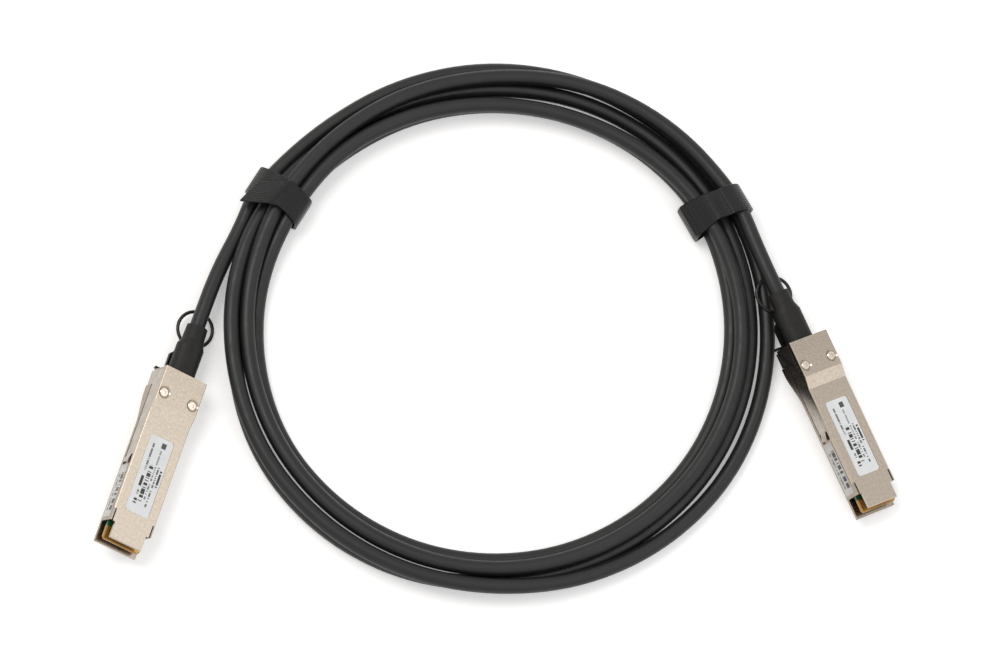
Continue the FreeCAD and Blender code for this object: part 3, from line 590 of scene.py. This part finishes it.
# Moulded thermoplastic rubber of the boots: matt brown-black.
BOOT_RUBBER = Finish(
    "moulded_rubber", "#141311", "#11100e", 0.55, 0.05, mottle_mm=4.0, grain_mm=0.3,
    relief_mm=0.012, sockets=(("Specular IOR Level", 0.3),))
# Moulded nylon of the pull rings: satin black.
RING_NYLON = Finish(
    "moulded_nylon", "#161615", "#121211", 0.4, 0.04, mottle_mm=3.0, grain_mm=0.25,
    relief_mm=0.006, sockets=(("Specular IOR Level", 0.35),))
# Extruded PVC jacket: charcoal with a soft sheen and faint scuffs.
PVC_JACKET = Finish(
    "extruded_pvc_jacket", "#1b1d1c", "#171918", 0.42, 0.06, mottle_mm=9.0, grain_mm=0.5,
    relief_mm=0.01, sockets=(("Specular IOR Level", 0.35),))
# White polyester film of the cover label: smooth, with a soft shine.
COVER_FILM = PrintedLabel(
    "printed_polyester_label", "#e2e4e5", "#dcdee0", 0.4, 0.03, mottle_mm=5.0, grain_mm=0.6,
    relief_mm=0.002, bars=COVER_ROWS)
# Silver-grey polyester film of the side label: smooth, with a soft shine.
SIDE_FILM = PrintedLabel(
    "printed_silver_label", "#c9c7c4", "#c0beba", 0.35, 0.03, mottle_mm=4.0, grain_mm=0.6,
    relief_mm=0.002, bars=SIDE_ROWS, across="Z")
# Black hook-and-loop tape: ribbed cloth, with painted highlight on its ribs and painted shade
# between them.
HOOK_TAPE = Webbing(
    "hook_and_loop_tape", "#040404", "#1c1c1b", 0.27, 0.04, relief_mm=0.2,
    sockets=(("Specular IOR Level", 0.28),))

NODE_FINISHES = {
    "housing_body": BODY_NICKEL, "housing_cover": COVER_NICKEL, "cover_screws": SCREW_STEEL,
    "paddle_card": BOARD, "contact_fingers": HARD_GOLD, "memory_chip": CHIP_EPOXY,
    "wire_pairs": PAIR_FOIL, "crimp_ferrule": TINNED_BRASS, "cable_boot": BOOT_RUBBER,
    "latch_slide": SPRING_SHEET, "return_springs": SPRING_SHEET, "pull_ring": RING_NYLON,
    "cover_label": COVER_FILM, "side_label": SIDE_FILM,
}


@dataclass
class FinishShelf:
    """Materials made so far, so that each finish is built once, or once for each module."""

    made: dict[str, bpy.types.Material] = field(default_factory=dict)

    def dress(
        self, piece: bpy.types.Object, finish: Finish, side: Side | None = None
    ) -> None:
        """Give a piece one finish all over.

        Args:
            piece: Piece to dress.
            finish: Finish to give it.
            side: End of the cable, for finishes laid out in a module's frame.
        """
        placed = isinstance(finish, PlacedFinish) and side is not None
        name = f"{finish.name}_{side.value}" if placed else finish.name
        if name not in self.made:
            local = ModuleFrame(side).matrix().inverted() if placed else Matrix()
            self.made[name] = finish.build(name, local)
        piece.data.materials.clear()
        piece.data.materials.append(self.made[name])


@dataclass
class ModuleFrame:
    """A module's own frame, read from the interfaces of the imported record."""

    side: Side
    lip_end: float = 72.5 * MM
    body_depth: float = 8.5 * MM

    def matrix(self) -> Matrix:
        """Work out the module's place from its two interfaces.

        Returns:
            The matrix that takes the module's own coordinates to the world's.
        """
        mounts = {mount["name"]: mount for mount in frame["record"]["mounts"]}
        cage = mounts[f"cage_slide_{self.side.value}"]
        face = mounts[f"heat_sink_face_{self.side.value}"]
        ahead = Vector(cage["axis"]).normalized()
        upward = -Vector(face["axis"]).normalized()
        across = ahead.cross(upward)
        origin = Vector(cage["pos_m"]) - ahead * self.lip_end + upward * (self.body_depth / 2)
        turned = Matrix((across, ahead, upward)).transposed().to_4x4()
        return Matrix.Translation(origin) @ turned

    def place(self, x: float, y: float, z: float) -> Vector:
        """Return the world place of a point given in the module's millimetres."""
        return self.matrix() @ (Vector((x, y, z)) * MM)


@dataclass
class Cable:
    """The jacketed cable: a lead, four and a third laps of the coil and the other lead.

    Its sizes are in millimetres, its length in metres and its step in degrees.
    """

    diameter: float = 6.0
    length: float = 2.80
    spline_order: int = 3
    spline_steps: int = 8
    round_steps: int = 8
    centre: tuple[float, float] = (-1.2, 35.1)
    step: int = 20
    grip: tuple[float, float, float] = (0.0, -9.0, -5.0)
    boot_end: tuple[float, float, float] = (0.0, -20.8, -5.0)
    lead_left: tuple[tuple[float, float, float], ...] = (
        (-114.8, 38.1, 8.8), (-108.4, 56.3, 6.6), (-100.2, 73.1, 4.2))
    lead_right: tuple[tuple[float, float, float], ...] = (
        (100.8, 69.1, 11.0), (107.0, 54.2, 12.3))
    # Angle in degrees, radius and height along each lap, as it lies.
    laps: tuple[tuple[tuple[float, float, float], ...], ...] = (
        ((150, 106, 4.4), (130, 103.2, 3), (120, 103.5, 3), (90, 105.7, 3), (70, 106.8, 3),
         (60, 106.6, 3), (30, 107.4, 4.4), (0, 106.9, 3), (-30, 106, 3), (-60, 103.6, 4.6),
         (-90, 101.9, 8.4), (-120, 102.7, 9), (-150, 103.3, 9), (-180, 102, 9),
         (-190, 102.4, 8.8), (-200, 102, 8.3)),
        ((150, 100.8, 7.0), (130, 97.6, 3.2), (120, 97.2, 3), (90, 97.7, 3), (70, 99.9, 3),
         (60, 100.5, 3), (30, 101.3, 4.4), (0, 100.1, 3), (-30, 98.6, 3), (-60, 97.6, 3),
         (-90, 99.5, 3), (-120, 103.4, 3), (-150, 103.8, 3), (-180, 100.5, 3.2),
         (-190, 99.2, 3.2), (-200, 97.2, 3.1)),
        ((150, 94.4, 4.4), (130, 91.5, 3), (120, 91, 3), (90, 91.3, 3), (70, 92.5, 3),
         (60, 93.5, 3), (30, 94.9, 4.4), (0, 92.5, 3), (-30, 91.4, 3), (-60, 90.7, 3),
         (-90, 91.2, 3), (-120, 92.5, 3), (-150, 93.8, 3), (-180, 92.4, 3),
         (-190, 92.2, 3.6), (-200, 91.6, 5.2)),
        ((150, 90.8, 9.8), (130, 91.5, 9), (120, 90.6, 9), (90, 89.8, 8.8), (70, 90.6, 8.8),
         (60, 91.8, 8.7), (30, 95, 10.4), (20, 96.3, 8.5), (0, 96.3, 7.7), (-30, 95, 7.8),
         (-60, 94.3, 7.9), (-90, 95.2, 7.5), (-120, 96, 8), (-150, 96.4, 8.4),
         (-180, 96, 7.8), (-190, 96.4, 8.2), (-200, 96.6, 9.2)),
        ((150, 96.6, 11.6), (130, 97.3, 9.5), (120, 98.3, 8.9), (90, 101.3, 7.8),
         (70, 105, 8.5), (60, 106.3, 9), (40, 107.2, 9), (30, 107.2, 10.4)),
    )

    def lap_point(self, angle: float, radius: float, height: float) -> Vector:
        """Place a control point, which stands out so that the curve passes inside it.

        Args:
            angle: Angle round the coil, in degrees.
            radius: Radius at which the curve passes, in millimetres.
            height: Height above the floor, in millimetres.

        Returns:
            The control point's place in the world.
        """
        outward = radius / math.cos(math.radians(self.step / 2))
        turn = math.radians(angle)
        return Vector((
            self.centre[0] + outward * math.cos(turn),
            self.centre[1] + outward * math.sin(turn), height)) * MM

    def coil_points(self) -> list[Vector]:
        """Place a point at every step round the coil, over all the laps.

        Returns:
            The control points in order.
        """
        stations = []
        for number, lap in enumerate(self.laps):
            stations += [(angle - 360 * number, radius, height) for angle, radius, height in lap]
        points = []
        angle = stations[0][0]
        for before, after in zip(stations, stations[1:]):
            while angle >= after[0]:
                share = (before[0] - angle) / (before[0] - after[0])
                radius = before[1] + share * (after[1] - before[1])
                height = before[2] + share * (after[2] - before[2])
                points.append(self.lap_point(angle, radius, height))
                angle -= self.step
        return points

    def build(self, shelf: FinishShelf) -> bpy.types.Object:
        """Build the whole cable as one spline between the two boots.

        Args:
            shelf: Materials to dress it with.

        Returns:
            The cable's curve object.
        """
        left, right = ModuleFrame(Side.LEFT), ModuleFrame(Side.RIGHT)
        points = [left.place(*self.grip)]
        points += [Vector(point) * MM for point in self.lead_left]
        points += self.coil_points()
        points += [Vector(point) * MM for point in self.lead_right]
        points.append(right.place(*self.grip))
        curve = bpy.data.curves.new("jacketed_cable", "CURVE")
        curve.dimensions = "3D"
        spline = curve.splines.new("NURBS")
        spline.points.add(len(points) - 1)
        for target, point in zip(spline.points, points):
            target.co = (*point, 1.0)
        spline.order_u = self.spline_order
        spline.use_endpoint_u = True
        spline.resolution_u = self.spline_steps
        curve.bevel_depth = self.diameter / 2 * MM
        curve.bevel_resolution = self.round_steps
        curve.use_fill_caps = True
        piece = bpy.data.objects.new("jacketed_cable", curve)
        bpy.context.scene.collection.objects.link(piece)
        shelf.dress(piece, PVC_JACKET)
        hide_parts("cable_coil", "cable_lead_a", "cable_lead_b")
        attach(piece, "root")
        left.place(*self.boot_end)
        return piece


@dataclass
class Strap:
    """Hook-and-loop strap round the bundle at one place of the coil.

    Its lines are radii and heights in the radial plane. Sizes are in millimetres and the angle
    is in degrees.
    """

    name: str
    node: str
    angle: float
    band_line: tuple[tuple[float, float], ...]
    tail_line: tuple[tuple[float, float], ...]
    band_skew: float
    tail_shift: float
    pivot: float
    tail_lean: float = 0.0
    tail_width: float = 11.6
    flare: float = 0.0
    flare_radius: float = 97.0
    width: float = 11.6
    thickness: float = 1.1
    edge_round: float = 0.3
    edge_steps: int = 2
    columns: int = 8
    rows_per_run: int = 5

    def rounded(
        self, line: tuple[tuple[float, float], ...], closed: bool
    ) -> list[tuple[float, float]]:
        """Draw a smooth line through the given points.

        Args:
            line: Points to pass through.
            closed: Whether the last point joins the first.

        Returns:
            The points of the smooth line.
        """
        count = len(line)
        points = []
        for index in range(count if closed else count - 1):
            picks = []
            for step in (-1, 0, 1, 2):
                place = index + step
                place = place % count if closed else min(max(place, 0), count - 1)
                picks.append(Vector(line[place]))
            before, start, end, after = picks
            for row in range(self.rows_per_run):
                share = row / self.rows_per_run
                leaving = (end - before) / 2
                arriving = (after - start) / 2
                cube, square = share ** 3, share ** 2
                point = (
                    start * (2 * cube - 3 * square + 1) + leaving * (cube - 2 * square + share)
                    + end * (3 * square - 2 * cube) + arriving * (cube - square))
                points.append((point.x, point.y))
        if not closed:
            points.append(line[-1])
        return points

    def place(
        self, centre: tuple[float, float], radius: float, along: float, height: float
    ) -> Vector:
        """Place a point of the strap's own radial frame.

        Args:
            centre: Centre of the coil, in millimetres.
            radius: Distance from the centre.
            along: Distance along the cable, from the strap's own plane.
            height: Height above the floor.

        Returns:
            The point's place in the world.
        """
        turn = math.radians(self.angle)
        outward = Vector((math.cos(turn), math.sin(turn), 0))
        tangent = Vector((-math.sin(turn), math.cos(turn), 0))
        place = outward * radius + tangent * along + Vector((centre[0], centre[1], height))
        return place * MM

    def strip(
        self, name: str, line: list[tuple[float, float]], closed: bool,
        centre: tuple[float, float], shelf: FinishShelf,
    ) -> bpy.types.Object:
        """Build one strip of tape along a line in the radial plane.

        Args:
            name: Name of the piece.
            line: Radius and height of each point, in millimetres.
            closed: Whether the last point joins the first.
            centre: Centre of the coil, in millimetres.
            shelf: Materials to dress it with.

        Returns:
            The strip, with its thickness and rounded edges.
        """
        mesh = bmesh.new()
        layer = mesh.loops.layers.uv.new("UVMap")
        path = line + line[:1] if closed else line
        lengths = [0.0]
        for before, after in zip(path, path[1:]):
            lengths.append(lengths[-1] + math.dist(before, after))
        rows = []
        for index, (radius, height) in enumerate(line):
            wider = self.flare * max(self.flare_radius - radius, 0)
            width = self.width + wider
            shift = self.band_skew * (radius - self.pivot) - wider / 2
            if not closed:
                width = self.tail_width
                shift += self.tail_shift * index / (len(line) - 1)
            row = []
            for column in range(self.columns + 1):
                off = width * (column / self.columns - 0.5)
                lean = 0.0 if closed else self.tail_lean * off
                row.append(mesh.verts.new(
                    self.place(centre, radius + lean, off + shift, height)))
            rows.append(row)
        step = self.width / self.columns
        for index in range(len(lengths) - 1):
            low, high = rows[index], rows[(index + 1) % len(rows)]
            for column in range(self.columns):
                face = mesh.faces.new(
                    (low[column], low[column + 1], high[column + 1], high[column]))
                across = step * column
                corners = ((lengths[index], across), (lengths[index], across + step),
                           (lengths[index + 1], across + step), (lengths[index + 1], across))
                for loop, corner in zip(face.loops, corners):
                    loop[layer].uv = corner
        data = bpy.data.meshes.new(name)
        mesh.to_mesh(data)
        mesh.free()
        piece = bpy.data.objects.new(name, data)
        bpy.context.scene.collection.objects.link(piece)
        select_only(piece)
        solid = piece.modifiers.new("thickness", "SOLIDIFY")
        solid.thickness = self.thickness * MM
        solid.offset = 0
        bpy.ops.object.modifier_apply(modifier=solid.name)
        edges = piece.modifiers.new("soft_edges", "BEVEL")
        edges.width = self.edge_round * MM
        edges.segments = self.edge_steps
        bpy.ops.object.modifier_apply(modifier=edges.name)
        bpy.ops.object.shade_smooth()
        shelf.dress(piece, HOOK_TAPE)
        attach(piece, "root")
        LOG.info("built %s", name)
        return piece

    def build(self, shelf: FinishShelf, centre: tuple[float, float]) -> list[bpy.types.Object]:
        """Build the closed band and the loose tail.

        Args:
            shelf: Materials to dress them with.
            centre: Centre of the coil, in millimetres.

        Returns:
            The band and the tail.
        """
        band = self.strip(
            f"{self.name}_band", self.rounded(self.band_line, True), True, centre, shelf)
        tail = self.strip(
            f"{self.name}_tail", self.rounded(self.tail_line, False), False, centre, shelf)
        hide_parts(self.node)
        return [band, tail]


LEFT_STRAP = Strap(
    "left_strap", "strap_left", 149.2,
    ((87.9, 1.6), (95.0, 0.6), (104.0, 0.6), (109.6, 1.8), (110.3, 5.4), (107.6, 9.0),
     (104.0, 11.6), (100.8, 13.9), (98.4, 15.3), (96.0, 15.7), (93.4, 14.9), (90.2, 12.9),
     (87.2, 10.0), (86.9, 5.6)),
    ((95.6, 15.2), (98.4, 16.0), (101.2, 15.3), (104.6, 13.4), (108.8, 10.6)),
    band_skew=-0.1, tail_shift=5.9, pivot=96.0, tail_lean=0.2)
RIGHT_STRAP = Strap(
    "right_strap", "strap_right", 29.4,
    ((88.7, 1.2), (95.0, 0.6), (104.0, 0.6), (109.8, 1.2), (112.0, 4.2), (112.3, 8.4),
     (110.6, 12.0), (107.6, 14.4), (104.2, 15.1), (102.4, 14.5), (100.4, 14.5), (98.4, 15.0),
     (95.8, 14.2), (92.0, 11.8), (88.4, 9.2), (87.8, 5.2)),
    ((89.2, 1.4), (87.6, 3.4), (87.3, 6.2), (87.8, 9.0)),
    band_skew=-0.12, tail_shift=0.4, pivot=112.0, tail_width=12.6, flare=0.28)


def select_only(piece: bpy.types.Object) -> None:
    """Deselect everything and make one piece the active one.

    Args:
        piece: Piece to select.
    """
    bpy.ops.object.select_all(action="DESELECT")
    piece.select_set(True)
    bpy.context.view_layer.objects.active = piece


@dataclass
class ModuleLooks:
    """Finishes of the pieces of one module, and the give of its springs in millimetres."""

    side: Side
    spring_start: float = 5.1
    spring_length: float = 10.1
    latch_travel: float = 3.0

    def build(self, shelf: FinishShelf) -> None:
        """Dress every piece of the module.

        Args:
            shelf: Materials to dress them with.
        """
        for name, finish in NODE_FINISHES.items():
            node = frame["nodes"][f"{name}_{self.side.value}"]
            shelf.dress(node, finish, self.side)
            LOG.info("dressed %s in %s", node.name, finish.name)
        module = ModuleFrame(self.side)
        springs = frame["nodes"][f"return_springs_{self.side.value}"]
        tuple(module.place(0, self.spring_start, 0))
        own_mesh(springs)


@dataclass(frozen=True)
class SoftBox:
    """A square soft box: its place and side in metres, its watts and its sRGB hex colour."""

    name: str
    place: tuple[float, float, float]
    size: float
    power: float
    colour: str


KEY_SOFT_BOX = SoftBox("key_soft_box", (-0.7, 0.5, 1.5), 0.9, 12.0, "#fffaf4")
FILL_SOFT_BOX = SoftBox("fill_soft_box", (0.9, -0.4, 1.4), 1.9, 6.8, "#ffffff")


@dataclass
class Studio:
    """Floor, lamps, world and camera.

    Its target, lens and sensor are in millimetres, and its other lengths in metres.
    """

    target: tuple[float, float, float] = (1.21, 34.91, 0.0)
    towards_camera: tuple[float, float, float] = (-0.09666, -0.25628, 0.96176)
    distance: float = 2.0
    focal_length: float = 185.4
    sensor: float = 36.0
    view_depth: float = 20.0
    floor_size: float = 6.0
    floor_level: float = -0.0001
    # Strengths, where one is white: the floor's glow where it is seen, and the surround's light
    # on what it doesn't show in.
    floor_glow: float = 0.3
    surround_light: float = 0.55

    def camera(self) -> None:
        """Create the camera that looks steeply down on the coil."""
        data = bpy.data.cameras.new("camera")
        data.lens = self.focal_length
        data.sensor_width = self.sensor
        data.clip_end = self.view_depth
        camera = bpy.data.objects.new("camera", data)
        back = Vector(self.towards_camera).normalized()
        right = Vector((0, 1, 0)).cross(back).normalized()
        up = back.cross(right)
        turned = Matrix((right, up, back)).transposed().to_4x4()
        place = Vector(self.target) * MM + back * self.distance
        camera.matrix_world = Matrix.Translation(place) @ turned
        bpy.context.scene.collection.objects.link(camera)
        bpy.context.scene.camera = camera

    def seen(self, tree: bpy.types.NodeTree) -> bpy.types.NodeSocket:
        """Tell the rays that show a surface from those that light it.

        Args:
            tree: Node tree that receives the nodes.

        Returns:
            A socket that is one for rays from the camera, mirrors and glass, and else zero.
        """
        path = add_node(tree, "ShaderNodeLightPath")
        first = add_node(
            tree, "ShaderNodeMath", {"operation": "MAXIMUM"},
            {0: path.outputs["Is Camera Ray"], 1: path.outputs["Is Glossy Ray"]})
        second = add_node(
            tree, "ShaderNodeMath", {"operation": "MAXIMUM"},
            {0: first.outputs["Value"], 1: path.outputs["Is Transmission Ray"]})
        return second.outputs["Value"]

    def floor(self) -> None:
        """Lay the pale floor."""
        bpy.ops.object.select_all(action="DESELECT")
        bpy.ops.mesh.primitive_plane_add(
            size=self.floor_size, location=(0, 0, self.floor_level))
        piece = bpy.context.active_object
        piece.name = "studio_floor"
        material = bpy.data.materials.new("white_studio_floor")
        material.use_nodes = True
        tree = material.node_tree
        tree.nodes.clear()
        matt = add_node(tree, "ShaderNodeBsdfDiffuse", {"Color": linear("#f7f7f7")})
        glow = add_node(
            tree, "ShaderNodeEmission", {"Color": linear("#ffffff")},
            {"Strength": ramp(tree, self.seen(tree), 0, 1, 0, self.floor_glow)})
        both = add_node(
            tree, "ShaderNodeAddShader", None,
            {0: matt.outputs["BSDF"], 1: glow.outputs["Emission"]})
        add_node(tree, "ShaderNodeOutputMaterial", None, {"Surface": both.outputs["Shader"]})
        piece.data.materials.append(material)

    def world(self) -> None:
        """Set a white surround that shows at full strength and lights at a lower one."""
        world = bpy.data.worlds.new("white_surround")
        bpy.context.scene.world = world
        world.use_nodes = True
        tree = world.node_tree
        tree.nodes.clear()
        back = add_node(
            tree, "ShaderNodeBackground", {"Color": linear("#ffffff")},
            {"Strength": ramp(tree, self.seen(tree), 0, 1, self.surround_light, 1.0)})
        add_node(tree, "ShaderNodeOutputWorld", None, {"Surface": back.outputs["Background"]})

    def lamp(self, box: SoftBox) -> None:
        """Hang one soft box that faces the coil.

        Args:
            box: Soft box to hang.
        """
        data = bpy.data.lights.new(box.name, "AREA")
        data.size = box.size
        data.energy = box.power
        data.color = linear(box.colour)[:3]
        lamp = bpy.data.objects.new(box.name, data)
        lamp.location = box.place
        aim = Vector(box.place) - Vector(self.target) * MM
        lamp.rotation_euler = aim.to_track_quat("Z", "Y").to_euler()
        bpy.context.scene.collection.objects.link(lamp)

    def build(self) -> None:
        """Build the whole studio."""
        bpy.context.scene.view_settings.view_transform = "Standard"
        self.camera()
        self.floor()
        self.world()
        for box in (KEY_SOFT_BOX, FILL_SOFT_BOX):
            self.lamp(box)


def main() -> None:
    """Build the studio, the cable, the straps and the modules' looks."""
    shelf = FinishShelf()
    Studio().build()
    cable = Cable()
    cable.build(shelf)
    LOG.info("built the jacketed cable")
    for strap in (LEFT_STRAP, RIGHT_STRAP):
        strap.build(shelf, cable.centre)
    for side in Side:
        ModuleLooks(side).build(shelf)


if __name__ == "__main__":
    main()
